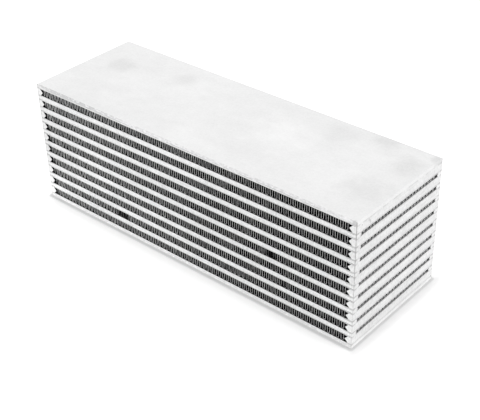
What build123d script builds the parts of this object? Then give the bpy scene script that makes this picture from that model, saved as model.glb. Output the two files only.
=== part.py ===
"""Bar-and-plate intercooler core: a brazed stack of side plates, parting sheets, nose bars and folded fins.

Frame: millimetres, +Z up the stack. X runs along the length, the way the charge air takes between two header
tanks. Y runs along the depth, the way the cooling air takes. The origin is the centre of the underside.

The stack starts and ends with an air layer, and a parting sheet lies on each side of every layer. Two short end
bars close an air layer at its ends, and two long side bars close a charge layer at its front and back. Between
each pair of bars lies one strip of foil, folded up and down from sheet to sheet. All outer faces are flush.
"""

import os
from math import sqrt

from build123d import *

# Overall size, across the outer faces of the bars.
CORE_LENGTH = 318.0
CORE_DEPTH = 104.0

# The stack, as thicknesses along Z.
AIR_LAYERS = 10
SIDE_PLATE = 3.0
PARTING_SHEET = 0.8
AIR_HEIGHT = 5.9
CHARGE_HEIGHT = 3.0

# Closing bars: a square body whose outer corners are broken, and a pointed nose that faces the fins.
BAR_BODY = 4.5
BAR_CORNER = 0.2
END_BAR_NOSE = 1.8
SIDE_BAR_NOSE = 1.2

# Side plates: the edges of the outer face are broken by this much.
PLATE_CORNER = 0.4

# Fins: the foil, the distance between neighbouring legs, and the room around the folded strip.
FOIL = 0.2
FIN_LEG_PITCH = 2.6
FIN_NOSE_GAP = 0.8
AIR_FIN_RECESS = 0.5
CHARGE_FIN_RECESS = 1.0

CHARGE_LAYERS = AIR_LAYERS - 1
ENDS = (-1, 1)


def flat_stock(thickness):
    """A flat blank with the core's outline, standing on z = 0."""
    return Pos(0, 0, thickness / 2) * Box(CORE_LENGTH, CORE_DEPTH, thickness)


def side_plate(outer_face):
    """A side plate on z = 0 with broken outer edges; outer_face is -1 for the lowest face and 1 for the highest."""
    blank = flat_stock(SIDE_PLATE)
    index = {-1: 0, 1: -1}[outer_face]
    return chamfer(blank.faces().sort_by(Axis.Z)[index].edges(), PLATE_CORNER)


def bar_section(height, nose, back, end):
    """A closing bar's outline: its back at u = end * back, its nose pointing to u = 0, standing on v = 0."""
    corner_u = end * (back - BAR_CORNER)
    shoulder_u = end * (back - BAR_BODY)
    tip_u = end * (back - BAR_BODY - nose)
    outline = [
        (end * back, BAR_CORNER),
        (corner_u, 0),
        (shoulder_u, 0),
        (tip_u, height / 2),
        (shoulder_u, height),
        (corner_u, height),
        (end * back, height - BAR_CORNER),
    ]
    return make_face(Polyline(*outline, close=True))


def fold_thickness(run, height):
    """The foil's extent along v where a leg crosses it, for a leg that goes over by run and up by height.

    The leg rises by the height less this extent, so the extent solves
    extent * run = FOIL * sqrt(run**2 + (height - extent)**2).
    """
    across = run**2 - FOIL**2
    return FOIL * (run * sqrt(across + height**2) - FOIL * height) / across


def fin_section(width, height):
    """A folded strip's outline, centred on u = 0, with its folds on v = 0 and v = height."""
    legs = round(width / FIN_LEG_PITCH)
    run = width / legs
    extent = fold_thickness(run, height)
    under = [(fold * run - width / 2, (fold % 2) * (height - extent)) for fold in range(legs + 1)]
    over = [(u, v + extent) for u, v in reversed(under)]
    return make_face(Polyline(*under, *over, close=True))


def along_depth(section, depth):
    """A section drawn in X and Z, made depth long along Y and centred there."""
    return extrude(Plane.XZ * section, depth / 2, both=True)


def along_length(section, length):
    """A section drawn in Y and Z, made length long along X and centred there."""
    return extrude(Plane.YZ * section, length / 2, both=True)


def end_bars():
    """The two short bars that close an air layer at its ends."""
    sections = [bar_section(AIR_HEIGHT, END_BAR_NOSE, CORE_LENGTH / 2, end) for end in ENDS]
    return Compound([along_depth(section, CORE_DEPTH).solid() for section in sections])


def side_bars():
    """The two long bars that close a charge layer at its front and back."""
    sections = [bar_section(CHARGE_HEIGHT, SIDE_BAR_NOSE, CORE_DEPTH / 2, end) for end in ENDS]
    return Compound([along_length(section, CORE_LENGTH).solid() for section in sections])


def air_fins():
    """The wide folded strip of an air layer, open to the front and back."""
    width = CORE_LENGTH - 2 * (BAR_BODY + END_BAR_NOSE + FIN_NOSE_GAP)
    return along_depth(fin_section(width, AIR_HEIGHT), CORE_DEPTH - 2 * AIR_FIN_RECESS)


def charge_fins():
    """The narrow folded strip of a charge layer, open to the two ends."""
    width = CORE_DEPTH - 2 * (BAR_BODY + SIDE_BAR_NOSE + FIN_NOSE_GAP)
    return along_length(fin_section(width, CHARGE_HEIGHT), CORE_LENGTH - 2 * CHARGE_FIN_RECESS)


def stack():
    """Every node of the core by name, laid on each other from z = 0 upwards."""
    nodes = {}
    level = 0.0

    def lay(height, **pieces):
        nonlocal level
        for name, shape in pieces.items():
            nodes[name] = Pos(0, 0, level) * shape
        level += height

    sheet, bars_at_ends, bars_at_sides = flat_stock(PARTING_SHEET), end_bars(), side_bars()
    wide_fins, narrow_fins = air_fins(), charge_fins()
    lay(SIDE_PLATE, bottom_plate=side_plate(-1))
    for layer in range(1, AIR_LAYERS + 1):
        lay(PARTING_SHEET, **{f"parting_sheet_{2 * layer - 1:02d}": sheet})
        lay(AIR_HEIGHT, **{f"air_fins_{layer:02d}": wide_fins, f"end_bars_{layer:02d}": bars_at_ends})
        lay(PARTING_SHEET, **{f"parting_sheet_{2 * layer:02d}": sheet})
        if layer <= CHARGE_LAYERS:
            lay(CHARGE_HEIGHT, **{f"charge_fins_{layer:02d}": narrow_fins, f"side_bars_{layer:02d}": bars_at_sides})
    lay(SIDE_PLATE, top_plate=side_plate(1))
    return nodes


def main():
    """Write one STEP file per node."""
    os.makedirs("parts", exist_ok=True)
    for name, shape in stack().items():
        export_step(shape, f"parts/{name}.step")


main()
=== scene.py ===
"""Looks of a bar-and-plate intercooler core: satin aluminium plates and bars, and rows of fine folded foil.

Every length is in metres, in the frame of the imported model: +Z up the stack of layers, +X along the length
and +Y along the depth. The plates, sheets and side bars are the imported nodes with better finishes. The end
bars are made here with longer noses, and the fin strips are folded here leg by leg, with rounded folds and
the small faults of real foil, all inside the boxes of their nodes.
"""

import logging
import math
from dataclasses import dataclass, field
from enum import Enum

import bpy
import numpy as np
from mathutils import Matrix, Vector


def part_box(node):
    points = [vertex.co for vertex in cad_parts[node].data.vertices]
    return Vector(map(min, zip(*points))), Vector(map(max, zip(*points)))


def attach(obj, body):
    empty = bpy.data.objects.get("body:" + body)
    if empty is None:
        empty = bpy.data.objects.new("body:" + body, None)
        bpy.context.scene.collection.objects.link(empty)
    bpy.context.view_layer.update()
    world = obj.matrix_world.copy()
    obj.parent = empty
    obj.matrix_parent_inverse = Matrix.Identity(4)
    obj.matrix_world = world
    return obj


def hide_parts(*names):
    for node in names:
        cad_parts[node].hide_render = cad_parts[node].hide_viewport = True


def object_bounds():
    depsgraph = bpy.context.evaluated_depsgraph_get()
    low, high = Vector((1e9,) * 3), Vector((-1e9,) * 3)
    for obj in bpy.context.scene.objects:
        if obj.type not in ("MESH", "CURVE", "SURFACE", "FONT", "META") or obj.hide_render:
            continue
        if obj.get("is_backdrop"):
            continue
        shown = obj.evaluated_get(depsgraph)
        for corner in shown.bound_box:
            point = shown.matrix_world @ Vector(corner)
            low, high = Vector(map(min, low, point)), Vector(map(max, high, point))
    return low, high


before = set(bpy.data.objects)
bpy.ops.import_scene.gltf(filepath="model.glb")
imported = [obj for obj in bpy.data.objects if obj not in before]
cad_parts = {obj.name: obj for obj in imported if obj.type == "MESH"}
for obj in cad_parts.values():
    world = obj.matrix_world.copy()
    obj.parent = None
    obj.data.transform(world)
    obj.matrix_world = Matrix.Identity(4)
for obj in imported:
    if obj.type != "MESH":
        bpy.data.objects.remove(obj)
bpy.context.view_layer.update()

LOG = logging.getLogger("intercooler_core")
MM = 0.001
BODY = "root"
IMAGE_WIDTH_PX = 480
SENSOR_WIDTH_MM = 36.0
FLOAT_SOCKET = "NodeSocketFloat"

# How far an end bar keeps its full height, from the core's end inwards.
END_BAR_BODY = 3.4 * MM
# The depth of relief that the bumps stand for.
BUMP_DEPTH = 0.02 * MM
# The linear grey of the painted shade on the upright edges and on the joints beside them.
EDGE_SHADE_GREY = 0.32
# The middle of a noise's values, and the range about it from which a mask is cut.
NOISE_MIDDLE = 0.5
NOISE_CUT = (0.38, 0.62)
# How much of a noise's shift goes along X, Y and Z.
SHIFT_SHARES = (1.0, 0.7, 0.4)

Socket = bpy.types.NodeSocket
Material = bpy.types.Material
Pair = tuple[float, float]
Triple = tuple[float, float, float]


class Slot(Enum):
    """Names of the record's material slots for the new pieces, which only a log line uses."""

    CLOSING_BAR = "closing_bar"
    FIN_FOIL = "fin_foil"


class Passage(Enum):
    """The axis along which a layer's passages run."""

    ALONG_LENGTH = 0
    ALONG_DEPTH = 1


@dataclass(frozen=True)
class CoreSizes:
    """Sizes of the stack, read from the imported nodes.

    Attributes:
        half_length: Half of the core's length.
        half_depth: Half of its depth.
        height: Its height.
        plate: Thickness of the bottom plate, and of the top one.
        sheet: Thickness of a parting sheet.
        layer_pair: Height after which the layers repeat: an air layer, a charge layer and their sheets.
        air_height: Height of an air layer.
    """

    half_length: float
    half_depth: float
    height: float
    plate: float
    sheet: float
    layer_pair: float
    air_height: float

    @classmethod
    def measured(cls) -> "CoreSizes":
        """Read the sizes from the boxes of the lowest nodes.

        Returns:
            The sizes.
        """
        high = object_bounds()[1]
        first, second, third = (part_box(f"parting_sheet_{place:02d}") for place in (1, 2, 3))
        return cls(
            half_length=high[0],
            half_depth=high[1],
            height=high[2],
            plate=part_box("bottom_plate")[1][2],
            sheet=first[1][2] - first[0][2],
            layer_pair=third[0][2] - first[0][2],
            air_height=second[0][2] - first[1][2],
        )


# ---------------------------------------------------------------- shader tools


@dataclass
class NodeTree:
    """A hand on a shader tree that adds nodes to it and links them."""

    tree: bpy.types.NodeTree

    def add(self, kind: str, **settings: object) -> bpy.types.Node:
        """Add a node.

        Args:
            kind: Blender's node type name.
            settings: Properties to set on the new node.

        Returns:
            The new node.
        """
        node = self.tree.nodes.new(kind)
        for name, value in settings.items():
            setattr(node, name, value)
        return node

    def feed(self, socket: Socket, value: object) -> None:
        """Set an input socket to a constant, or link an output socket to it.

        Args:
            socket: The input socket.
            value: An output socket, or a constant of the socket's kind.
        """
        if isinstance(value, bpy.types.NodeSocket):
            self.tree.links.new(value, socket)
        else:
            socket.default_value = value

    def math(self, operation: str, *values: object, clamp: bool = False) -> Socket:
        """Add a Math node.

        Args:
            operation: The Math node's operation.
            values: Its inputs, as sockets or numbers.
            clamp: Whether the result is kept between 0 and 1.

        Returns:
            The result's socket.
        """
        node = self.add("ShaderNodeMath", operation=operation, use_clamp=clamp)
        for socket, value in zip(node.inputs, values):
            self.feed(socket, value)
        return node.outputs[0]

    def chain(self, operation: str, first: object, *others: object) -> Socket:
        """Apply a Math operation of two inputs along a row of values, from the left.

        Args:
            operation: The Math node's operation.
            first: The first value.
            others: The values after it.

        Returns:
            The result's socket.
        """
        for value in others:
            first = self.math(operation, first, value)
        return first

    def plus(self, *values: object) -> Socket:
        """The sum of the values."""
        return self.chain("ADD", *values)

    def minus(self, *values: object) -> Socket:
        """The first value less the others."""
        return self.chain("SUBTRACT", *values)

    def times(self, *values: object) -> Socket:
        """The product of the values."""
        return self.chain("MULTIPLY", *values)

    def least(self, *values: object) -> Socket:
        """The smallest of the values."""
        return self.chain("MINIMUM", *values)

    def most(self, *values: object) -> Socket:
        """The largest of the values."""
        return self.chain("MAXIMUM", *values)

    def apart(self, value: object, place: object = 0.0) -> Socket:
        """The distance between a value and a place."""
        return self.math("ABSOLUTE", self.minus(value, place))

    def ramp(
        self, value: object, low: object, high: object, out_low: object = 0.0, out_high: object = 1.0
    ) -> Socket:
        """Map a value smoothly from one range to another.

        Args:
            value: The value to map.
            low: The value that gives out_low.
            high: The value that gives out_high.
            out_low: Result at and below low.
            out_high: Result at and above high.

        Returns:
            The result's socket.
        """
        node = self.add("ShaderNodeMapRange", interpolation_type="SMOOTHSTEP")
        for socket, number in zip(node.inputs, (value, low, high, out_low, out_high)):
            self.feed(socket, number)
        return node.outputs[0]

    def position(self) -> tuple[Socket, Socket, Socket]:
        """Object coordinates, which are the core's own frame.

        Returns:
            The X, Y and Z sockets.
        """
        coords = self.add("ShaderNodeTexCoord")
        split = self.add("ShaderNodeSeparateXYZ")
        self.feed(split.inputs[0], coords.outputs["Object"])
        return tuple(split.outputs)

    def noise(
        self, scale: Triple, detail: float = 2.0, roughness: float = 0.5, shift: float = 0.0
    ) -> Socket:
        """Fractal noise over object coordinates.

        Args:
            scale: Features per metre along X, Y and Z.
            detail: Octaves of detail.
            roughness: Strength of the finer octaves.
            shift: Offset of the pattern, to tell one use from another.

        Returns:
            The noise value's socket, near NOISE_MIDDLE on average.
        """
        coords = self.add("ShaderNodeTexCoord")
        mapping = self.add("ShaderNodeVectorMath", operation="MULTIPLY_ADD")
        self.feed(mapping.inputs[0], coords.outputs["Object"])
        self.feed(mapping.inputs[1], scale)
        self.feed(mapping.inputs[2], tuple(share * shift for share in SHIFT_SHARES))
        node = self.add("ShaderNodeTexNoise", noise_dimensions="3D")
        self.feed(node.inputs["Vector"], mapping.outputs[0])
        self.feed(node.inputs["Scale"], 1.0)
        self.feed(node.inputs["Detail"], detail)
        self.feed(node.inputs["Roughness"], roughness)
        return node.outputs[0]

    def relief(self, shader: bpy.types.Node, height: object, strength: float) -> None:
        """Feed a fine bump into a shader's Normal.

        Args:
            shader: The Principled shader.
            height: The bump's height.
            strength: The bump's strength.
        """
        bump = self.add("ShaderNodeBump")
        self.feed(bump.inputs["Strength"], strength)
        self.feed(bump.inputs["Distance"], BUMP_DEPTH)
        self.feed(bump.inputs["Height"], height)
        self.feed(shader.inputs["Normal"], bump.outputs["Normal"])

    def blend(self, factor: object, first: object, second: object) -> Socket:
        """Mix two colours.

        Args:
            factor: 0 for the first colour and 1 for the second.
            first: The first colour.
            second: The second colour.

        Returns:
            The mixed colour's socket.
        """
        node = self.add("ShaderNodeMix", data_type="RGBA")
        self.feed(node.inputs[0], factor)
        self.feed(node.inputs[6], first)
        self.feed(node.inputs[7], second)
        return node.outputs[2]


def grey(value: float) -> tuple[float, float, float, float]:
    """A grey colour of one linear value, with alpha."""
    return (value, value, value, 1.0)


def emptied(owner: Material | bpy.types.World) -> NodeTree:
    """Give a material or a world an empty shader tree.

    Args:
        owner: The material or world.

    Returns:
        Its tree.
    """
    owner.use_nodes = True
    owner.node_tree.nodes.clear()
    return NodeTree(owner.node_tree)


@dataclass
class EffectGroup:
    """A shader node group with named inputs and outputs, built once and placed in several materials.

    Attributes:
        name: The group's name.
        floats_in: Its inputs, with their values where a material gives none.
        floats_out: Its outputs.
        tree: Its node tree.
    """

    name: str
    floats_in: dict[str, float]
    floats_out: tuple[str, ...]
    tree: bpy.types.NodeTree = field(init=False)

    def __post_init__(self) -> None:
        """Make the group's tree and its sockets."""
        self.tree = bpy.data.node_groups.new(self.name, "ShaderNodeTree")
        for socket_name, value in self.floats_in.items():
            socket = self.tree.interface.new_socket(socket_name, in_out="INPUT", socket_type=FLOAT_SOCKET)
            socket.default_value = value
        for socket_name in self.floats_out:
            self.tree.interface.new_socket(socket_name, in_out="OUTPUT", socket_type=FLOAT_SOCKET)
        hand = NodeTree(self.tree)
        start = hand.add("NodeGroupInput")
        end = hand.add("NodeGroupOutput")
        results = self.build(hand, {name: start.outputs[name] for name in self.floats_in})
        for socket_name, value in results.items():
            hand.feed(end.inputs[socket_name], value)
        LOG.info("effect %s", self.name)

    def build(self, hand: NodeTree, given: dict[str, Socket]) -> dict[str, Socket]:
        """Make the group's nodes; each effect has its own version.

        Args:
            hand: The group's tree.
            given: The group's input sockets by name.

        Returns:
            What feeds each output, by name.
        """
        raise NotImplementedError

    def place(self, hand: NodeTree, **values: float) -> dict[str, Socket]:
        """Put the group into a material.

        Args:
            hand: The material's tree.
            values: Inputs by name, with spaces written as underscores.

        Returns:
            The group's output sockets by name.
        """
        node = hand.add("ShaderNodeGroup", node_tree=self.tree)
        for name, value in values.items():
            hand.feed(node.inputs[name.replace("_", " ")], value)
        return {name: node.outputs[name] for name in self.floats_out}


class FurnaceCloud(EffectGroup):
    """Cloudy patches and fine speckle that a brazing furnace leaves on bare aluminium.

    Attributes:
        mottling: Strength of the smaller mottles beside the broad patches.
    """

    mottling: float = 0.45

    def __init__(self) -> None:
        """Name the group's sockets and build it."""
        super().__init__("furnace_cloud", {"Patches": 0.5, "Speckle": 0.5}, ("Tone", "Height"))

    def build(self, hand: NodeTree, given: dict[str, Socket]) -> dict[str, Socket]:
        """Mix broad patches, smaller mottles and fine speckle about a middle tone.

        Args:
            hand: The group's tree.
            given: Patches and Speckle, the strengths.

        Returns:
            Tone, NOISE_MIDDLE on average and darker below it, and Height for a bump.
        """
        broad = hand.noise((17.0, 24.0, 24.0), detail=3.0, roughness=0.55, shift=3.7)
        broad = hand.minus(broad, NOISE_MIDDLE)
        mottle = hand.minus(hand.noise((70.0, 110.0, 90.0), shift=1.3), NOISE_MIDDLE)
        fine = hand.noise((620.0, 700.0, 700.0), roughness=0.7)
        patches = hand.times(hand.math("MULTIPLY_ADD", mottle, self.mottling, broad), given["Patches"])
        speckle = hand.times(hand.minus(fine, NOISE_MIDDLE), given["Speckle"])
        tone = hand.math("ADD", hand.plus(patches, speckle), NOISE_MIDDLE, clamp=True)
        return {"Tone": tone, "Height": fine}


class ShearMarks(EffectGroup):
    """Fine upright marks that shearing and sawing leave on the outer edges of sheets and bars.

    Attributes:
        streaks: Strength of the level streaks beside the upright marks.
    """

    streaks: float = 0.5

    def __init__(self) -> None:
        """Name the group's sockets and build it."""
        super().__init__("shear_marks", {"Strength": 0.5}, ("Tone", "Height"))

    def build(self, hand: NodeTree, given: dict[str, Socket]) -> dict[str, Socket]:
        """Stretch noise up the stack, with longer streaks across it.

        Args:
            hand: The group's tree.
            given: Strength, how far the marks move the tone.

        Returns:
            Tone, about zero on average, and Height for a bump.
        """
        upright = hand.noise((900.0, 900.0, 330.0), roughness=0.6, shift=5.1)
        level = hand.noise((40.0, 40.0, 900.0), roughness=0.6, shift=8.2)
        both = hand.math("MULTIPLY_ADD", level, self.streaks, upright)
        both = hand.minus(both, NOISE_MIDDLE * (1 + self.streaks))
        return {"Tone": hand.times(both, given["Strength"]), "Height": upright}


@dataclass(frozen=True)
class EdgeReaches:
    """How far the masks of the stack's edges reach.

    A pair says where a mask starts to change and where it ends, unless it says otherwise.

    Attributes:
        side_gain: How many times faster the edges' painted shade ends across the depth than along the length.
        raggedness: How the reach of that painted shade varies along an edge, as a factor and what is added to
            it.
        near_corner: The band beside the four upright edges, where the joints get more painted shade.
        plate_rim: Soft rim between the plates, which have no joints, and the layers.
        lips: The shaded part of the sheets' edges above and below an air layer, at the right end.
        lip_rim: The soft rim of that part.
        lip_start: Where it starts, from the core's ends inwards.
        air_fade: Depth at which an air passage's walls are wholly in painted shade, at the left end and at
            the right.
        nose_fade: Where that depth grows to its whole value, from the core's ends inwards.
        nose_share: The share of it that is left beside the noses.
        charge_fade: Depth at which a charge passage's walls are wholly in painted shade, at the front and at
            the back.
        charge_lip: How much of a charge passage's walls stays free of painted shade.
        notch_start: Where the painted shade on the end bars' nose slopes begins, inwards from the bars' full
            height.
        notch_depth: The same, inwards from the front and back faces.
        notch_top: The same, as a share of half the layer's height, so that the sheets' edges stay bright.
        face: The front and back faces.
        score_drop: How far the scored line lies under the top plate's upper face.
        score_line: Half of the scored line's width.
        score_dashes: The range of the noise that breaks the line.
        left_end: Where the tone of the left part begins, from the core's ends inwards.
        left_share: The share of that tone at the very end.
        left_until: Where it ends, in half lengths from the middle.
        right_from: Where the look of the right end is reached, in half lengths from the middle.
    """

    side_gain: float = 2.2
    raggedness: Pair = (1.6, 0.2)
    near_corner: Pair = (2.0 * MM, 9.0 * MM)
    plate_rim: float = 0.1 * MM
    lips: Pair = (0.30 * MM, 0.12 * MM)
    lip_rim: float = 0.06 * MM
    lip_start: Pair = (5.4 * MM, 6.3 * MM)
    air_fade: Pair = (1.6 * MM, 0.3 * MM)
    nose_fade: Pair = (7.0 * MM, 8.5 * MM)
    nose_share: float = 0.2
    charge_fade: Pair = (2.4 * MM, 3.6 * MM)
    charge_lip: float = 1.2 * MM
    notch_start: Pair = (0.1 * MM, 0.4 * MM)
    notch_depth: Pair = (0.2 * MM, 0.35 * MM)
    notch_top: Pair = (0.97, 0.99)
    face: Pair = (0.4 * MM, 0.55 * MM)
    score_drop: float = 2.2 * MM
    score_line: Pair = (0.15 * MM, 0.45 * MM)
    score_dashes: Pair = (0.42, 0.58)
    left_end: Pair = (3.0 * MM, 14.0 * MM)
    left_share: float = 0.2
    left_until: float = -0.2
    right_from: float = 0.7


class BlockEdges(EffectGroup):
    """Masks of the stack's outer edges and brazed joints, worked out from its sizes, mostly for painted
    shade.
    """

    def __init__(self, sizes: CoreSizes, reaches: EdgeReaches = EdgeReaches()) -> None:
        """Keep the sizes, name the group's sockets and build it.

        Args:
            sizes: The sizes of the stack.
            reaches: How far the masks reach.
        """
        self.sizes = sizes
        self.reaches = reaches
        widths = {"Reach": 0.9 * MM, "Seam Width": 0.3 * MM}
        masks = ("Front", "Left", "Score", "Corner", "Near Corner", "Seam", "Hidden")
        super().__init__("block_edges", widths, masks)

    def build(self, hand: NodeTree, given: dict[str, Socket]) -> dict[str, Socket]:
        """Measure how far a point is from the edges and joints.

        Args:
            hand: The group's tree.
            given: Reach, how far the painted shade reaches from an upright edge, and Seam Width.

        Returns:
            Front for the front and back faces, Left for how far to the left a point is, Score for a fine
            line along the top plate's front and back, Corner for the four upright edges and Near Corner for
            a band beside them, Seam for the joints between plates, sheets and bars, and Hidden for the
            painted shade on the walls inside the passages, on the slopes of the end bars' noses and on the
            sheets' edges beside the air passages.
        """
        sizes, reaches = self.sizes, self.reaches
        across, along, up = hand.position()
        from_end = hand.minus(sizes.half_length, hand.apart(across))
        from_side = hand.minus(sizes.half_depth, hand.apart(along))
        in_pair = hand.math("WRAP", hand.minus(up, sizes.plate), sizes.layer_pair, 0.0)
        corner = hand.most(from_end, hand.times(from_side, reaches.side_gain))
        patches = hand.noise((260.0, 260.0, 260.0), roughness=0.6, shift=2.2)
        reach = hand.times(hand.math("MULTIPLY_ADD", patches, *reaches.raggedness), given["Reach"])
        left_until = reaches.left_until * sizes.half_length
        left = hand.ramp(across, -sizes.half_length, left_until, 1.0, 0.0)
        front = hand.ramp(from_side, *reaches.face, 1.0, 0.0)
        painted_shades = (
            self.shaded_nose_slopes(hand, from_end, from_side, in_pair),
            self.shaded_passage_walls(hand, from_end, from_side),
            self.lips(hand, from_end, in_pair),
        )
        return {
            "Front": front,
            "Left": hand.times(left, hand.ramp(from_end, *reaches.left_end, reaches.left_share, 1.0)),
            "Score": hand.times(self.scored_line(hand, up), front),
            "Corner": hand.ramp(corner, 0.0, reach, 1.0, 0.0),
            "Near Corner": hand.ramp(corner, *reaches.near_corner, 1.0, 0.0),
            "Seam": self.seams(hand, up, in_pair, given["Seam Width"]),
            "Hidden": hand.most(*painted_shades),
        }

    def rightward(self, hand: NodeTree) -> Socket:
        """How far to the right a point is, from 0 at the left end to 1 well before the right one."""
        half_length = self.sizes.half_length
        return hand.ramp(hand.position()[0], -half_length, self.reaches.right_from * half_length)

    def seams(self, hand: NodeTree, up: Socket, in_pair: Socket, width: Socket) -> Socket:
        """The brazed joints between plates, sheets and bars, where painted shade goes.

        Args:
            hand: The group's tree.
            up: Height in the stack.
            in_pair: Height within a pair of layers.
            width: How wide a joint shows.

        Returns:
            A mask.
        """
        sizes = self.sizes
        air_top = sizes.sheet + sizes.air_height
        joints = (0.0, sizes.layer_pair, sizes.sheet, air_top, air_top + sizes.sheet)
        gap = hand.least(*(hand.apart(in_pair, joint) for joint in joints))
        from_face = hand.least(up, hand.minus(sizes.height, up))
        not_plate = hand.ramp(from_face, sizes.plate / 2, sizes.plate / 2 + self.reaches.plate_rim)
        return hand.times(hand.ramp(gap, 0.0, width, 1.0, 0.0), not_plate)

    def scored_line(self, hand: NodeTree, up: Socket) -> Socket:
        """A fine broken line at one height of the top plate.

        Args:
            hand: The group's tree.
            up: Height in the stack.

        Returns:
            A mask.
        """
        breaks = hand.noise((60.0, 60.0, 60.0), detail=3.0, roughness=0.7, shift=8.3)
        dashes = hand.ramp(breaks, *self.reaches.score_dashes)
        away = hand.apart(up, self.sizes.height - self.reaches.score_drop)
        return hand.times(hand.ramp(away, *self.reaches.score_line, 1.0, 0.0), dashes)

    def shaded_nose_slopes(self, hand: NodeTree, from_end: Socket, from_side: Socket, in_pair: Socket) -> Socket:
        """The slopes of the end bars' noses, behind the front and back faces, which take painted shade.

        Args:
            hand: The group's tree.
            from_end: Distance from the nearer end.
            from_side: Distance from the nearer long face.
            in_pair: Height within a pair of layers.

        Returns:
            A mask.
        """
        sizes, reaches = self.sizes, self.reaches
        off_middle = hand.apart(in_pair, sizes.sheet + sizes.air_height / 2)
        off_middle = hand.math("DIVIDE", off_middle, sizes.air_height / 2)
        return hand.times(
            hand.ramp(from_end, *(END_BAR_BODY + start for start in reaches.notch_start)),
            hand.ramp(from_side, *reaches.notch_depth),
            hand.ramp(off_middle, *reaches.notch_top, 1.0, 0.0),
        )

    def shaded_passage_walls(self, hand: NodeTree, from_end: Socket, from_side: Socket) -> Socket:
        """The walls inside the air and charge passages, which turn dark with depth as painted shade.

        Args:
            hand: The group's tree.
            from_end: Distance from the nearer end.
            from_side: Distance from the nearer long face.

        Returns:
            A mask.
        """
        reaches = self.reaches
        rearward = hand.ramp(hand.position()[1], -self.sizes.half_depth, self.sizes.half_depth)
        at_left, at_right = reaches.air_fade
        at_front, at_back = reaches.charge_fade
        air_fade = hand.math("MULTIPLY_ADD", self.rightward(hand), at_right - at_left, at_left)
        air_fade = hand.times(air_fade, hand.ramp(from_end, *reaches.nose_fade, reaches.nose_share, 1.0))
        charge_fade = hand.math("MULTIPLY_ADD", rearward, at_back - at_front, at_front)
        return hand.least(
            hand.ramp(from_side, 0.0, air_fade), hand.ramp(from_end, reaches.charge_lip, charge_fade)
        )

    def lips(self, hand: NodeTree, from_end: Socket, in_pair: Socket) -> Socket:
        """The edges of the sheets along the air passages, shaded more towards the right.

        Args:
            hand: The group's tree.
            from_end: Distance from the nearer end.
            in_pair: Height within a pair of layers.

        Returns:
            A mask.
        """
        sizes, reaches = self.sizes, self.reaches
        above = hand.minus(in_pair, sizes.sheet + sizes.air_height)
        below = hand.minus(sizes.sheet, in_pair)
        edges = []
        for beyond, width in zip((above, below), reaches.lips):
            shaded = hand.times(self.rightward(hand), width)
            edges.append(hand.ramp(beyond, shaded, hand.plus(shaded, reaches.lip_rim), 1.0, 0.0))
        return hand.times(hand.ramp(from_end, *reaches.lip_start), hand.least(*edges))


# ---------------------------------------------------------------- finishes


@dataclass(frozen=True)
class Stain:
    """A soft spot on a face, darker or lighter than the metal around it.

    Attributes:
        place: Its middle, in half lengths, half depths and heights of the core.
        reach: Its radius.
        depth: How much it takes from the metal's tone.
        heart: The share of the radius over which it is strongest.
    """

    place: Triple
    reach: float
    depth: float
    heart: float = 0.15

    def mask(self, hand: NodeTree, sizes: CoreSizes) -> Socket:
        """A soft round mask with a ragged rim.

        Args:
            hand: The material's tree.
            sizes: The sizes of the stack.

        Returns:
            The mask times the stain's depth.
        """
        across, along, up = self.place
        middle = (across * sizes.half_length, along * sizes.half_depth, up * sizes.height)
        coords = hand.add("ShaderNodeTexCoord")
        away = hand.add("ShaderNodeVectorMath", operation="DISTANCE")
        hand.feed(away.inputs[0], coords.outputs["Object"])
        hand.feed(away.inputs[1], middle)
        rim = hand.noise((90.0, 110.0, 110.0), detail=3.0, roughness=0.6, shift=4.4)
        inside = hand.minus(away.outputs["Value"], self.reach / 2)
        spread = hand.math("MULTIPLY_ADD", rim, self.reach, inside)
        return hand.ramp(spread, self.heart * self.reach, self.reach, self.depth, 0.0)


@dataclass(frozen=True)
class Effects:
    """The shared node groups."""

    cloud: FurnaceCloud
    shear: ShearMarks
    edges: BlockEdges


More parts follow.
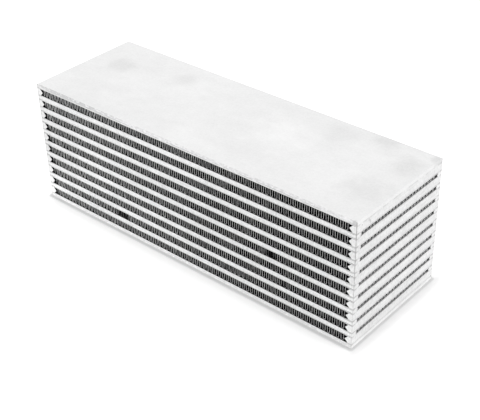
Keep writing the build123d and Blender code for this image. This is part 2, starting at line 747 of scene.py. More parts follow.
@dataclass(frozen=True)
class MetalFinish:
    """Bare aluminium, as the values that change from one piece to another.

    Attributes:
        name: The material's name.
        light: Grey of the brightest metal.
        dark: Grey of the dullest metal.
        roughness: Roughness of the brightest metal.
        patches: Strength of the furnace's cloudy patches.
        speckle: Strength of its speckle.
        shear: Strength of the shear marks.
        seam: How dark the painted shade along the brazed joints is.
        front: How much painted shade darkens the front and back faces, at the left and elsewhere.
        score: How dark the scored line is.
        corner: How strong the painted shade on the upright edges is.
        bump: Strength of the fine relief.
        stains: Soft spots in their places.
        lift: What is added to the whole tone.
        inside: Grey of the painted shade on the walls inside the passages, where the piece has such walls.
        duller: What the dullest metal adds to the roughness.
        corner_shade_reach: How far the painted shade reaches from an upright edge.
        seam_width: How wide a joint shows.
        corner_shade_heights: Heights between which the painted shade on the upright edges grows to its whole
            strength.
        corner_shade_share: The share of that strength at the bottom.
        joint_gain: How much darker the joints' painted shade is beside the upright edges.
        blotches: The least and the most that random blotches make of the painted shade on the front and back
            faces.
    """

    name: str
    light: float
    dark: float
    roughness: float
    patches: float
    speckle: float
    shear: float
    seam: float
    front: Pair
    score: float
    corner: float
    bump: float
    stains: tuple[Stain, ...] = ()
    lift: float = 0.0
    inside: float | None = None
    duller: float = 0.12
    corner_shade_reach: float = 0.9 * MM
    seam_width: float = 0.3 * MM
    corner_shade_heights: Pair = (20.0 * MM, 90.0 * MM)
    corner_shade_share: float = 0.35
    joint_gain: float = 1.1
    blotches: Pair = (0.1, 1.9)

    def material(self, effects: Effects) -> Material:
        """Build the finish's material.

        Args:
            effects: The shared node groups.

        Returns:
            A material with a procedural colour, roughness and bump.
        """
        made, hand, shader = new_metal(self.name)
        clouds = effects.cloud.place(hand, Patches=self.patches, Speckle=self.speckle)
        marks = effects.shear.place(hand, Strength=self.shear)
        edges = effects.edges.place(hand, Reach=self.corner_shade_reach, Seam_Width=self.seam_width)
        base = hand.plus(clouds["Tone"], self.lift, marks["Tone"])
        stains = [stain.mask(hand, effects.edges.sizes) for stain in self.stains]
        tone = self.tone(hand, hand.minus(base, *stains), edges)
        hand.feed(shader.inputs["Base Color"], self.colour(hand, tone, edges))
        duller = hand.ramp(tone, 0.0, 1.0, self.roughness + self.duller, self.roughness)
        hand.feed(shader.inputs["Roughness"], duller)
        hand.relief(shader, hand.plus(clouds["Height"], marks["Height"]), self.bump)
        return made

    def tone(self, hand: NodeTree, base: Socket, edges: dict[str, Socket]) -> Socket:
        """Darken the joints and the front and back faces with painted shade, and the scored line too.

        Args:
            hand: The material's tree.
            base: The metal's tone without them.
            edges: The masks of the stack's edges.

        Returns:
            The tone, from 0 for the dullest metal to 1 for the brightest.
        """
        patchy = hand.ramp(hand.noise((55.0, 90.0, 150.0), roughness=0.6, shift=6.6), *NOISE_CUT)
        blotches = hand.noise((260.0, 260.0, 520.0), detail=3.0, roughness=0.7, shift=9.4)
        blotches = hand.ramp(blotches, *NOISE_CUT, *self.blotches)
        # Painted shade: the front and back faces are darker than the top, broken up by random blotches.
        at_left, elsewhere = self.front
        front = hand.times(hand.ramp(edges["Left"], 0.0, 1.0, elsewhere, at_left), blotches, edges["Front"])
        # Painted shade along the joints, broken up by noise.
        seam = hand.times(edges["Seam"], patchy, self.seam)
        score = hand.times(edges["Score"], self.score)
        return hand.math("SUBTRACT", hand.minus(base, seam, front), score, clamp=True)

    def colour(self, hand: NodeTree, tone: Socket, edges: dict[str, Socket]) -> Socket:
        """Turn the tone into a colour, with painted shade on the upright edges, the joints beside them and
        the passages.

        Args:
            hand: The material's tree.
            tone: The metal's tone.
            edges: The masks of the stack's edges.

        Returns:
            The colour.
        """
        colour = hand.blend(tone, grey(self.dark), grey(self.light))
        # Painted shade on the upright edges, stronger higher up, and along the joints beside them.
        upward = hand.ramp(hand.position()[2], *self.corner_shade_heights, self.corner_shade_share, 1.0)
        edge_dimming = hand.times(edges["Corner"], upward, self.corner)
        joint = hand.times(edges["Seam"], edges["Near Corner"], self.joint_gain * self.seam)
        colour = hand.blend(hand.most(edge_dimming, joint), colour, grey(EDGE_SHADE_GREY))
        # Painted shade inside the passages, on the noses' slopes and on the sheets' edges beside the air
        # layers.
        if self.inside is not None:
            colour = hand.blend(edges["Hidden"], colour, grey(self.inside))
        return colour


@dataclass(frozen=True)
class FoilFinish:
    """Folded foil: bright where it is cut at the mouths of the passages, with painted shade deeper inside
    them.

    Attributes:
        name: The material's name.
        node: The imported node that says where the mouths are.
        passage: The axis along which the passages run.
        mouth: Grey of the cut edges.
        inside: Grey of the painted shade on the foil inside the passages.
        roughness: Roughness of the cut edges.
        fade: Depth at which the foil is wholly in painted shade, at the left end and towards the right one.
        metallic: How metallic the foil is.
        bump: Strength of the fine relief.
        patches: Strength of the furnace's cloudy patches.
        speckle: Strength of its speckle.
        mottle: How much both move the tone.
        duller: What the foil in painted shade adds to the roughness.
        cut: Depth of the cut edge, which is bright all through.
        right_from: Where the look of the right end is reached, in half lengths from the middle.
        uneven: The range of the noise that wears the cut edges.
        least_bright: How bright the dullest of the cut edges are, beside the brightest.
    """

    name: str
    node: str
    passage: Passage
    mouth: float
    inside: float
    roughness: float
    fade: Pair
    metallic: float
    bump: float
    patches: float = 0.8
    speckle: float = 0.9
    mottle: float = 0.25
    duller: float = 0.1
    cut: float = 0.05 * MM
    right_from: float = 0.4
    uneven: Pair = (0.3, 0.7)
    least_bright: float = 0.75

    def material(self, effects: Effects) -> Material:
        """Build the finish's material.

        Args:
            effects: The shared node groups.

        Returns:
            A material whose colour follows the depth inside the passage.
        """
        made, hand, shader = new_metal(self.name, self.metallic)
        clouds = effects.cloud.place(hand, Patches=self.patches, Speckle=self.speckle)
        low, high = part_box(self.node)
        place = hand.position()
        # Painted shade: the foil turns dark with depth into the passage, and closer to the mouth towards the
        # right end.
        depth = hand.minus(high[self.passage.value], hand.apart(place[self.passage.value]))
        fade = hand.ramp(place[0], float(low[0]), self.right_from * float(high[0]), *self.fade)
        edge_dimming = hand.noise((300.0, 300.0, 300.0), roughness=0.6, shift=7.1)
        edge_dimming = hand.ramp(edge_dimming, *self.uneven, self.least_bright, 1.0)
        bright = hand.times(hand.ramp(depth, self.cut, fade, 1.0, 0.0), edge_dimming)
        cloudy = hand.minus(clouds["Tone"], NOISE_MIDDLE)
        tone = hand.math("MULTIPLY_ADD", cloudy, self.mottle, bright, clamp=True)
        hand.feed(shader.inputs["Base Color"], hand.blend(tone, grey(self.inside), grey(self.mouth)))
        duller = hand.ramp(tone, 0.0, 1.0, self.roughness + self.duller, self.roughness)
        hand.feed(shader.inputs["Roughness"], duller)
        hand.relief(shader, clouds["Height"], self.bump)
        return made


def new_metal(name: str, metallic: float = 1.0) -> tuple[Material, NodeTree, bpy.types.Node]:
    """Start a metal material.

    Args:
        name: The material's name.
        metallic: How metallic it is.

    Returns:
        The material, its tree and its Principled shader.
    """
    made = bpy.data.materials.new(name)
    hand = emptied(made)
    shader = hand.add("ShaderNodeBsdfPrincipled")
    output = hand.add("ShaderNodeOutputMaterial")
    hand.feed(output.inputs["Surface"], shader.outputs[0])
    hand.feed(shader.inputs["Metallic"], metallic)
    return made, hand, shader


TOP_STAINS = (
    Stain((-0.8113, 0.2692, 1.0), 18.0 * MM, 0.22),
    Stain((-0.4277, 0.5577, 1.0), 14.0 * MM, 0.13),
    Stain((0.5094, 0.6346, 1.0), 20.0 * MM, 0.10),
    Stain((0.7296, 0.9423, 1.0), 16.0 * MM, 0.19),
    Stain((0.9245, 0.5, 1.0), 18.0 * MM, 0.20),
    Stain((0.8868, -0.3269, 1.0), 26.0 * MM, 0.17),
    Stain((0.3145, 0.1154, 1.0), 34.0 * MM, -0.12),
    Stain((-0.3270, 0.2308, 1.0), 26.0 * MM, -0.10),
    Stain((0.98868, -1.0, 0.98333), 2.8 * MM, 1.0),
    Stain((1.0, 0.9231, 0.98611), 9.0 * MM, 0.35),
)
BAR_MARKS = (
    Stain((1.0, -0.70769, 0.92963), 1.3 * MM, 1.0),
    Stain((1.0, -0.71538, 0.94259), 1.3 * MM, 1.0),
    Stain((1.0, -0.73269, 0.95370), 1.2 * MM, 1.0),
    Stain((1.0, -0.88654, 0.95463), 1.0 * MM, 1.0),
)

TOP_FINISH = MetalFinish(
    name="top_plate_mill_finish", light=1.0, dark=0.64, roughness=0.40, patches=0.34, speckle=0.34, shear=0.0,
    seam=0.5, front=(0.80, 0.22), score=0.9, corner=0.9, bump=0.12, stains=TOP_STAINS, lift=0.17,
)
BOTTOM_FINISH = MetalFinish(
    name="bottom_plate_mill_finish", light=1.0, dark=0.74, roughness=0.40, patches=0.5, speckle=0.25,
    shear=0.6, seam=0.5, front=(0.28, 0.38), score=0.0, corner=0.8, bump=0.12,
)
SHEET_FINISH = MetalFinish(
    name="sheet_sheared_edge", light=1.0, dark=0.66, roughness=0.38, patches=0.7, speckle=0.6, shear=1.3,
    seam=0.9, front=(0.0, 0.0), score=0.0, corner=0.8, bump=0.25, inside=0.02,
)
BAR_FINISH = MetalFinish(
    name="bar_drawn_satin", light=1.0, dark=0.68, roughness=0.36, patches=0.7, speckle=0.5, shear=1.0,
    seam=0.7, front=(0.0, 0.0), score=0.0, corner=0.8, bump=0.20, stains=BAR_MARKS, inside=0.02,
)
AIR_FOIL = FoilFinish(
    name="air_fin_foil", node="air_fins_01", passage=Passage.ALONG_DEPTH, mouth=0.94, inside=0.01,
    roughness=0.60, fade=(1.1 * MM, 0.28 * MM), metallic=1.0, bump=0.25,
)
CHARGE_FOIL = FoilFinish(
    name="charge_fin_foil", node="charge_fins_01", passage=Passage.ALONG_LENGTH, mouth=1.0, inside=0.015,
    roughness=0.45, fade=(1.3 * MM, 1.3 * MM), metallic=0.5, bump=0.25,
)

DRESSED: dict[str, MetalFinish] = {
    "top_plate": TOP_FINISH,
    "bottom_plate": BOTTOM_FINISH,
    "parting_sheet": SHEET_FINISH,
    "end_bars": BAR_FINISH,
    "side_bars": BAR_FINISH,
}


@dataclass
class Finishes:
    """The finishes, built once.

    Attributes:
        sizes: The sizes of the stack.
        by_prefix: The bare metals, by the start of their nodes' names.
        foil: The folded foils, by the axis of their passages.
    """

    sizes: CoreSizes
    by_prefix: dict[str, Material] = field(default_factory=dict)
    foil: dict[Passage, Material] = field(default_factory=dict)

    def build(self) -> None:
        """Build the shared effects and the materials."""
        effects = Effects(FurnaceCloud(), ShearMarks(), BlockEdges(self.sizes))
        for prefix, finish in DRESSED.items():
            self.by_prefix[prefix] = finish.material(effects)
            LOG.info("finish %s for %s", finish.name, prefix)
        for finish in (AIR_FOIL, CHARGE_FOIL):
            self.foil[finish.passage] = finish.material(effects)
            LOG.info("finish %s on slot %s", finish.name, Slot.FIN_FOIL.value)


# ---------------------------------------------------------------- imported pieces


def nodes_named(prefix: str) -> list[str]:
    """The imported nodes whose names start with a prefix, in order."""
    return [name for name in sorted(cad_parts) if name.startswith(prefix)]


@dataclass
class PackedPieces:
    """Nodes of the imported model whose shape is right, and which only get a finish.

    Attributes:
        prefix: The start of the nodes' names.
        finishes: The finishes.
    """

    prefix: str
    finishes: Finishes

    def dress(self) -> None:
        """Give each node of the group its finish."""
        names = nodes_named(self.prefix)
        for name in names:
            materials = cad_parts[name].data.materials
            materials.clear()
            materials.append(self.finishes.by_prefix[self.prefix])
        LOG.info("%s: %d nodes dressed", self.prefix, len(names))


@dataclass
class EndBars:
    """The two bars that close an air layer at its ends, each with a long sharp nose that faces the fins.

    Attributes:
        node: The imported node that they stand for.
        finishes: The finishes.
        corner: Chamfer of the back's corners.
        blunt: Half of the nose's height at its tip.
        hollow: Power of the nose's flanks, which are straight at 1 and hollow above it.
        steps: Where the flanks bend, from the shoulder to the tip.
    """

    node: str
    finishes: Finishes
    corner: float = 0.2 * MM
    blunt: float = 0.12 * MM
    hollow: float = 1.3
    steps: tuple[float, ...] = (0.0, 0.3, 0.65, 1.0)

    def build(self) -> None:
        """Make both bars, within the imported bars' outline."""
        low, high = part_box(self.node)
        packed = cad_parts[self.node]
        tip = min(abs((packed.matrix_world @ corner.co).x) for corner in packed.data.vertices)
        outline = self.outline(float(high[0]), tip, float(low[2]), float(high[2]))
        count = len(outline)
        places: list[Triple] = []
        faces: list[tuple[int, ...]] = []
        for end in (-1, 1):
            start = len(places)
            for along in (float(low[1]), float(high[1])):
                places += [(end * across, along, up) for across, up in outline]
            near = [start + step for step in range(count)]
            far = [start + count + step for step in range(count)]
            for step in range(count):
                after = (step + 1) % count
                side = (near[step], near[after], far[after], far[step])
                faces.append(side if end > 0 else side[::-1])
            faces.append(tuple(near[::-1] if end > 0 else near))
            faces.append(tuple(far if end > 0 else far[::-1]))
        mesh = bpy.data.meshes.new(f"{self.node}_nosed")
        mesh.from_pydata(places, [], faces)
        mesh.materials.append(self.finishes.by_prefix["end_bars"])
        piece = bpy.data.objects.new(f"{self.node}_nosed", mesh)
        bpy.context.scene.collection.objects.link(piece)
        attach(piece, BODY)
        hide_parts(self.node)
        LOG.info("%s: %d faces", piece.name, len(faces))

    def outline(self, back: float, tip: float, low: float, high: float) -> list[Pair]:
        """A bar's section, seen along the bar.

        Args:
            back: Where its back is.
            tip: Where its nose ends.
            low: Its underside.
            high: Its upper side.

        Returns:
            Points across and up, in order round the section.
        """
        middle, half = (low + high) / 2, (high - low) / 2
        shoulder = back - END_BAR_BODY
        flank = [
            (shoulder + (tip - shoulder) * step, self.blunt + (half - self.blunt) * (1 - step) ** self.hollow)
            for step in self.steps
        ]
        lower = [(back, low + self.corner), (back - self.corner, low)]
        lower += [(across, middle - rise) for across, rise in flank]
        upper = [(across, middle + rise) for across, rise in reversed(flank)]
        upper += [(back - self.corner, high), (back, high - self.corner)]
        return lower + upper


# ---------------------------------------------------------------- fins


@dataclass(frozen=True)
class Dent:
    """A place where something has pushed the front ends of the foil's legs apart and inwards.

    Attributes:
        at: Its place across the strip, from the middle.
        reach: How far to each side it reaches.
        push: How far it pushes the legs apart.
        set_back: How far it pushes them inwards.
    """

    at: float
    reach: float
    push: float
    set_back: float


@dataclass(frozen=True)
class FoldStyle:
    """How a kind of foil is folded.

    Attributes:
        leg_pitch: Distance from leg to leg.
        foil: Thickness of the foil.
        fold_radius: Radius of a fold.
        lean: How far a leg's head and foot stand off its middle, each towards its own fold.
        leg_scatter: How far a whole leg wanders at most.
        mouth_scatter: How far its ends wander at a mouth at most.
        mouth_depth: Depth over which the faults of a mouth end.
        ragged: How far the cut edge stands back at most.
        left_gain: How many times larger the faults are at the low end of the strip's width.
        burr: How much thicker the cut edge is at that end, as a share of the foil.
        end_gap: Space between the last leg and the end of the node's box.
        offset: How far the strip as a whole sits off the middle of its passage.
        arc_steps: Number of straight steps in half a fold.
    """

    leg_pitch: float
    foil: float
    fold_radius: float
    lean: float
    leg_scatter: float
    mouth_scatter: float
    mouth_depth: float
    ragged: float
    left_gain: float
    burr: float
    end_gap: float
    offset: float
    arc_steps: int


AIR_FOLDS = FoldStyle(
    leg_pitch=2.0 * MM, foil=0.20 * MM, fold_radius=0.50 * MM, lean=0.06 * MM, leg_scatter=0.06 * MM,
    mouth_scatter=0.05 * MM, mouth_depth=3.0 * MM, ragged=0.08 * MM, left_gain=4.0, burr=0.7,
    end_gap=0.3 * MM, offset=-0.15 * MM, arc_steps=3,
)
CHARGE_FOLDS = FoldStyle(
    leg_pitch=2.0 * MM, foil=0.30 * MM, fold_radius=0.45 * MM, lean=0.36 * MM, leg_scatter=0.12 * MM,
    mouth_scatter=0.08 * MM, mouth_depth=3.0 * MM, ragged=0.16 * MM, left_gain=1.0, burr=0.0,
    end_gap=0.7 * MM, offset=0.0, arc_steps=3,
)
DENTS: dict[str, tuple[Dent, ...]] = {
    "air_fins_05": (Dent(at=85.5 * MM, reach=5.0 * MM, push=0.8 * MM, set_back=0.15 * MM),),
    "air_fins_03": (Dent(at=97.5 * MM, reach=2.6 * MM, push=0.5 * MM, set_back=0.12 * MM),),
    "air_fins_02": (Dent(at=-70.0 * MM, reach=6.5 * MM, push=0.6 * MM, set_back=0.5 * MM),),
}


@dataclass
class FinStrip:
    """One strip of foil, folded up and down between two parting sheets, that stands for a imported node.

    Attributes:
        node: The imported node.
        passage: The axis along which the strip's passages run.
        style: How the foil is folded.
        finishes: The finishes.
        dents: Dents in the strip's front edge.
        crowding: The largest share of the space between two legs that a fold's radius takes.
        least_gap: The least space between two legs that a fold is made for.
        mouth_steps: Where a section is laid, as shares of the mouths' depth.
        lean_spread: How much the lean varies from leg to leg, as a share of it.
        crease: The angle in degrees from which an edge shows as sharp.
    """

    node: str
    passage: Passage
    style: FoldStyle
    finishes: Finishes
    dents: tuple[Dent, ...] = ()
    crowding: float = 0.49
    least_gap: float = 0.2 * MM
    mouth_steps: tuple[float, ...] = (0.0, 0.2, 0.5, 1.0)
    lean_spread: float = 0.5
    crease: float = 50.0

    def __post_init__(self) -> None:
        """Read the strip's box, count its legs and start its own row of random numbers."""
        low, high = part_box(self.node)
        size = high - low
        style = self.style
        self.wide_axis = 1 - self.passage.value
        self.middle = (low + high) / 2
        self.width, self.length, self.height = size[self.wide_axis], size[self.passage.value], size[2]
        self.span = self.width - 2 * style.end_gap
        self.legs = 2 * math.ceil((self.span - style.foil) / (2 * style.leg_pitch)) + 1
        self.gain = 1 + (style.left_gain - 1) * np.linspace(1.0, 0.0, self.legs) ** 2
        seed = sum(ord(letter) * (place + 1) for place, letter in enumerate(self.node))
        self.random = np.random.default_rng(seed)

    def build(self) -> None:
        """Fold the strip, dress it and put it in its node's place."""
        mesh = self.folded_mesh()
        mesh.materials.append(self.finishes.foil[self.passage])
        piece = bpy.data.objects.new(f"{self.node}_foil", mesh)
        bpy.context.scene.collection.objects.link(piece)
        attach(piece, BODY)
        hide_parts(self.node)
        LOG.info("%s: %d legs, %d faces", piece.name, self.legs, len(mesh.polygons))

    def scattered(self, spread: float) -> np.ndarray:
        """A small random shift for each leg, never beyond its spread."""
        return self.gain * self.random.normal(0.0, spread / 2, self.legs).clip(-spread, spread)

    def leg_ends(self) -> tuple[np.ndarray, np.ndarray]:
        """Lay out the legs, evenly but for a small scatter, each leaning towards its upper fold.

        Returns:
            Where each leg is at its foot and at its head, across the strip.
        """
        style = self.style
        places = np.linspace(-self.span / 2, self.span / 2, self.legs) + style.offset
        lean = np.where(np.arange(self.legs) % 2 == 0, style.lean, -style.lean) * self.gain
        lean = lean * (1 + self.lean_spread * self.random.uniform(-1, 1, self.legs))
        places = places + self.scattered(style.leg_scatter)
        return places - lean, places + lean

    def dent_shift(self, places: np.ndarray) -> tuple[np.ndarray, np.ndarray]:
        """How far the dents push the foil's edge aside and inwards.

        Args:
            places: Positions across the strip.

        Returns:
            The shift aside and the shift inwards at each position.
        """
        aside, inwards = np.zeros_like(places), np.zeros_like(places)
        for dent in self.dents:
            away = (places - dent.at) / dent.reach
            aside += dent.push * away * np.exp(-(away**2))
            inwards += dent.set_back * np.exp(-(away**4))
        return aside, inwards

    def centre_line(self, feet: np.ndarray, heads: np.ndarray) -> tuple[np.ndarray, np.ndarray]:
        """The strip's centre line, with a rounded fold between each two legs.

        Args:
            feet: Where each leg is at its foot.
            heads: Where each leg is at its head.

        Returns:
            Points across and up, one row each, and the number of the leg that each belongs to.
        """
        style = self.style
        top = (self.height - style.foil) / 2
        rise = style.fold_radius
        angles = np.linspace(0.0, math.pi / 2, style.arc_steps + 1)
        points: list[Pair] = [(feet[0], -top)]
        owners = [0]
        for leg in range(self.legs):
            sign, row = (1.0, heads) if leg % 2 == 0 else (-1.0, feet)
            last = leg == self.legs - 1
            gap = 2 * rise if last else row[leg + 1] - row[leg]
            run = min(rise, self.crowding * max(gap, self.least_gap))
            arc = [(run * (1 - math.cos(turn)), rise * math.sin(turn)) for turn in angles]
            level = sign * (top - rise)
            points += [(row[leg] + across, level + sign * up) for across, up in arc]
            owners += [leg] * len(arc)
            if not last:
                points += [(row[leg + 1] - across, level + sign * up) for across, up in reversed(arc)]
                owners += [leg + 1] * len(arc)
        return np.array(points), np.array(owners)

    def stations(self) -> list[Pair]:
        """Places of the sections along the passage, close together at its two mouths.

        Returns:
            Each place and how near it is to its mouth, from 1 there to 0 inside.
        """
        near = [(step * self.style.mouth_depth, 1 - step) for step in self.mouth_steps]
        far = [(self.length - place, nearness) for place, nearness in reversed(near)]
        return [(place - self.length / 2, nearness) for place, nearness in near + far]

    def folded_mesh(self) -> bpy.types.Mesh:
        """Sweep the folded section from mouth to mouth.

        Returns:
            A closed mesh in its node's place.
        """
        style = self.style
        feet, heads = self.leg_ends()
        sides = front, back = -1, 1
        drifts = {side: [self.scattered(style.mouth_scatter) for _ in range(2)] for side in sides}
        ragged = style.ragged * self.gain
        set_back = {side: ragged * self.random.uniform(0, 1, self.legs) for side in sides}
        aside, inwards = self.dent_shift(heads)
        drifts[front] = [drift + aside for drift in drifts[front]]
        set_back[front] = set_back[front] + inwards
        rings = []
        for along, nearness in self.stations():
            side = front if along < 0 else back
            weight = nearness**2
            low_drift, high_drift = drifts[side]
            line, owners = self.centre_line(feet + weight * low_drift, heads + weight * high_drift)
            section = self.section(line, self.gain[owners], weight)
            ring = np.zeros((len(section), 3))
            ring[:, self.wide_axis] = section[:, 0]
            ring[:, self.passage.value] = along - side * nearness * np.tile(set_back[side][owners], 2)
            ring[:, 2] = section[:, 1]
            rings.append(ring + np.array(self.middle))
        return self.swept(rings)

    def section(self, line: np.ndarray, gain: np.ndarray, weight: float) -> np.ndarray:
        """Give the centre line the foil's thickness, with a burr near the mouths.

        Args:
            line: Points across and up, one row each.
            gain: How many times larger the faults are at each point.
            weight: How near the section is to its mouth, from 1 there to 0 inside.

        Returns:
            The points of one side of the foil and then those of the other, inside the node's box.
        """
        step = np.gradient(line, axis=0)
        normal = np.stack([-step[:, 1], step[:, 0]], axis=1)
        normal /= np.linalg.norm(normal, axis=1, keepdims=True)
        burr = 1 + weight * self.style.burr * (gain[:, None] - 1) / max(self.style.left_gain - 1, 1)
        half = normal * burr * self.style.foil / 2
        limit = np.array([self.width / 2, self.height / 2])
        return np.concatenate([line + half, line - half]).clip(-limit, limit)

    def swept(self, rings: list[np.ndarray]) -> bpy.types.Mesh:
        """Join the rings into a closed skin.

        Args:
            rings: The section's points at each station, first its one side and then its other.

        Returns:
            The skin.
        """
        count = len(rings[0]) // 2
        size = 2 * count
        spans = np.arange(count - 1)
        faces = []
        for ring in range(len(rings) - 1):
            base, after = ring * size, (ring + 1) * size
            upper = np.stack([base + spans, base + spans + 1, after + spans + 1, after + spans], axis=1)
            faces += [upper, (upper + count)[:, ::-1]]
            ends = [(base + count, base, after, after + count)]
            ends += [(base + count - 1, base + size - 1, after + size - 1, after + count - 1)]
            faces.append(np.array(ends))
        for base, turn in ((0, -1), ((len(rings) - 1) * size, 1)):
            first = base + spans
            cap = np.stack([first, first + 1, first + 1 + count, first + count], axis=1)
            faces.append(cap[:, ::turn])
        # A strip along the length is laid out in a mirrored frame, so its faces are turned to look outwards.
        if self.passage is Passage.ALONG_LENGTH:
            faces = [part[:, ::-1] for part in faces]
        mesh = bpy.data.meshes.new(f"{self.node}_foil")
        mesh.from_pydata(np.concatenate(rings).tolist(), [], np.concatenate(faces).tolist())
        mesh.update()
        mesh.shade_smooth()
        mesh.set_sharp_from_angle(angle=math.radians(self.crease))
        return mesh


@dataclass
class FinPack:
    """All the fin strips of the core."""

    finishes: Finishes

    def build(self) -> None:
        """Fold every strip."""
        for name in nodes_named("air_fins"):
            FinStrip(name, Passage.ALONG_DEPTH, AIR_FOLDS, self.finishes, DENTS.get(name, ())).build()
        for name in nodes_named("charge_fins"):
            FinStrip(name, Passage.ALONG_LENGTH, CHARGE_FOLDS, self.finishes).build()


# ---------------------------------------------------------------- studio


@dataclass(frozen=True)
class SoftLamp:
    """A square soft lamp that faces the core.

    Attributes:
        name: The lamp's name.
        place: Where it hangs.
        size: The length of its side.
        watts: Its power.
        aim: The point it faces.
    """

    name: str
    place: Triple
    size: float
    watts: float
    aim: Triple = (0.0, 0.0, 0.05)

    def hang(self) -> None:
        """Put the lamp into the scene."""
        light = bpy.data.lights.new(self.name, "AREA")
        light.size = self.size
        light.energy = self.watts
        holder = bpy.data.objects.new(self.name, light)
        holder.location = self.place
        holder.rotation_euler = (Vector(self.aim) - Vector(self.place)).to_track_quat("-Z", "Y").to_euler()
        bpy.context.scene.collection.objects.link(holder)
        LOG.info("%s hung", self.name)


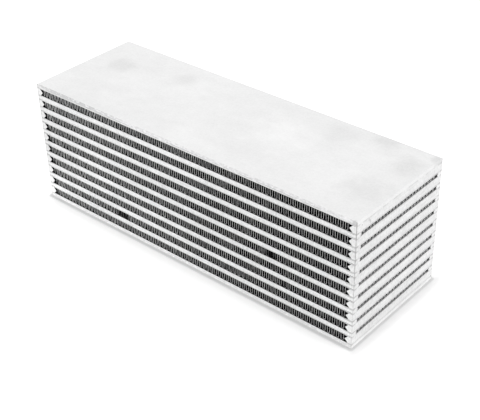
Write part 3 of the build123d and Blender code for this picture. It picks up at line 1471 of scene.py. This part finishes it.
@dataclass
class Studio:
    """A white sweep, soft light and the camera.

    Attributes:
        sizes: The sizes of the stack.
        lamps: The lamps.
        sky: Strength of the room's even white light.
        floor_size: The floor's side.
        floor_white: Grey of the floor.
        floor_drop: How far the floor lies under the core.
        paper_glow: What is added to the floor for the camera, so that it shows as white.
        shadow_tone: Grey of the painted shadow on the floor for the camera, right beside the core.
        front_clearing: How the painted shadow clears in front of the core, as soft steps: start, end and
            share.
        side_clearing: The same beside the core's right end.
        side_rim: Width of the change from the one to the other.
        front_glow: The floor's glow for glossy rays before the core, a painted reflection, at the left end
            and at the right.
        side_glow: What they see beside the right end.
        glossy_glow: What they see farther away.
        near_reach: Where farther away begins.
        camera_place: Where the camera stands.
        camera_aim: The point at the middle of its view.
        camera_roll_deg: Its turn about its own axis, in degrees.
        focal_px: Its focal length, in pixels of a picture as wide as IMAGE_WIDTH_PX.
        clip_start: The nearest distance that it shows.
    """

    sizes: CoreSizes
    lamps: tuple[SoftLamp, ...] = (
        SoftLamp("left_softbox", place=(-1.4, -1.25, 0.35), size=0.6, watts=1.3),
        SoftLamp("right_softbox", place=(1.6, 0.3, 0.4), size=0.9, watts=1.2),
    )
    sky: float = 1.0
    floor_size: float = 6.0
    floor_white: float = 0.95
    floor_drop: float = 0.05 * MM
    paper_glow: float = 0.36
    shadow_tone: float = 0.72
    front_clearing: tuple[Triple, ...] = ((0.9 * MM, 4.6 * MM, 0.72), (1.0 * MM, 14.0 * MM, 0.28))
    side_clearing: tuple[Triple, ...] = ((0.7 * MM, 2.8 * MM, 0.38), (1.0 * MM, 15.0 * MM, 0.62))
    side_rim: float = 3.0 * MM
    front_glow: Pair = (0.42, 0.25)
    side_glow: float = 0.17
    glossy_glow: float = 0.10
    near_reach: float = 90.0 * MM
    camera_place: Triple = (0.47617, -0.52475, 0.49721)
    camera_aim: Triple = (0.01340, -0.00169, 0.03047)
    camera_roll_deg: float = -1.496
    focal_px: float = 1059.0
    clip_start: float = 10.0 * MM

    def build(self) -> None:
        """Build the floor, the light and the camera."""
        self.floor()
        self.world()
        for lamp in self.lamps:
            lamp.hang()
        self.camera()
        bpy.context.scene.view_settings.view_transform = "Standard"

    def floor(self) -> None:
        """Lay a large white sheet just under the core."""
        half = self.floor_size / 2
        mesh = bpy.data.meshes.new("floor")
        corners = [(-half, -half, 0.0), (half, -half, 0.0), (half, half, 0.0), (-half, half, 0.0)]
        mesh.from_pydata(corners, [], [(0, 1, 2, 3)])
        sheet = bpy.data.objects.new("floor", mesh)
        sheet.location.z = -self.floor_drop
        bpy.context.scene.collection.objects.link(sheet)
        mesh.materials.append(self.paper())
        sheet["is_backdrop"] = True
        LOG.info("floor laid")

    def paper(self) -> Material:
        """White paper that shows as plain white, but for a painted shadow close to the core.

        Returns:
            The paper's material.
        """
        made = bpy.data.materials.new("white_paper")
        hand = emptied(made)
        across, along, _ = hand.position()
        out_x = hand.most(hand.minus(hand.apart(across), self.sizes.half_length), 0.0)
        out_y = hand.most(hand.minus(hand.apart(along), self.sizes.half_depth), 0.0)
        away = hand.math("SQRT", hand.plus(hand.times(out_x, out_x), hand.times(out_y, out_y)))
        beside = hand.ramp(hand.minus(across, self.sizes.half_length), 0.0, self.side_rim)
        before_front, beside_end = (
            hand.plus(*(hand.ramp(away, start, end, 0.0, share) for start, end, share in steps))
            for steps in (self.front_clearing, self.side_clearing)
        )
        clear = hand.ramp(beside, 0.0, 1.0, before_front, beside_end)
        path = hand.add("ShaderNodeLightPath")
        seen = hand.most(path.outputs["Is Camera Ray"], path.outputs["Is Transmission Ray"])
        # Painted reflection: a glow on the floor that only glossy rays see, stronger close to the core.
        front_glow = hand.ramp(across, -self.sizes.half_length, self.sizes.half_length, *self.front_glow)
        near_glow = hand.ramp(beside, 0.0, 1.0, front_glow, self.side_glow)
        reflection_glow = hand.ramp(away, 0.0, self.near_reach, near_glow, self.glossy_glow)
        glossy = hand.times(path.outputs["Is Glossy Ray"], reflection_glow)
        paper = hand.add("ShaderNodeBsdfDiffuse")
        # Painted shadow: for the camera, the floor turns grey and loses its glow close to the core.
        shadow = hand.times(hand.minus(1.0, clear), seen)
        hand.feed(paper.inputs["Color"], hand.blend(shadow, grey(self.floor_white), grey(self.shadow_tone)))
        glow = hand.add("ShaderNodeEmission")
        lit = hand.times(clear, self.paper_glow)
        hand.feed(glow.inputs["Strength"], hand.math("MULTIPLY_ADD", seen, lit, glossy))
        both = hand.add("ShaderNodeAddShader")
        hand.feed(both.inputs[0], paper.outputs[0])
        hand.feed(both.inputs[1], glow.outputs[0])
        output = hand.add("ShaderNodeOutputMaterial")
        hand.feed(output.inputs["Surface"], both.outputs[0])
        return made

    def world(self) -> None:
        """Fill the room with even white light."""
        world = bpy.data.worlds.new("white_room")
        bpy.context.scene.world = world
        hand = emptied(world)
        background = hand.add("ShaderNodeBackground")
        hand.feed(background.inputs["Color"], grey(1.0))
        hand.feed(background.inputs["Strength"], self.sky)
        output = hand.add("ShaderNodeOutputWorld")
        hand.feed(output.inputs["Surface"], background.outputs[0])

    def camera(self) -> None:
        """Set up the camera."""
        lens = bpy.data.cameras.new("camera")
        lens.sensor_fit = "HORIZONTAL"
        lens.sensor_width = SENSOR_WIDTH_MM
        lens.lens = self.focal_px * SENSOR_WIDTH_MM / IMAGE_WIDTH_PX
        lens.clip_start = self.clip_start
        holder = bpy.data.objects.new("camera", lens)
        ahead = Vector(self.camera_aim) - Vector(self.camera_place)
        roll = Matrix.Rotation(math.radians(self.camera_roll_deg), 3, "Z")
        turn = ahead.to_track_quat("-Z", "Y").to_matrix() @ roll
        holder.matrix_world = Matrix.Translation(self.camera_place) @ turn.to_4x4()
        bpy.context.scene.collection.objects.link(holder)
        bpy.context.scene.camera = holder
        LOG.info("camera set")


def main() -> None:
    """Build the studio and dress the core, piece by piece."""
    logging.basicConfig(level=logging.INFO, format="%(name)s: %(message)s")
    sizes = CoreSizes.measured()
    Studio(sizes).build()
    finishes = Finishes(sizes)
    finishes.build()
    for prefix in ("bottom_plate", "top_plate", "parting_sheet", "side_bars"):
        PackedPieces(prefix, finishes).dress()
    for name in nodes_named("end_bars"):
        EndBars(name, finishes).build()
    FinPack(finishes).build()


if __name__ == "__main__":
    main()
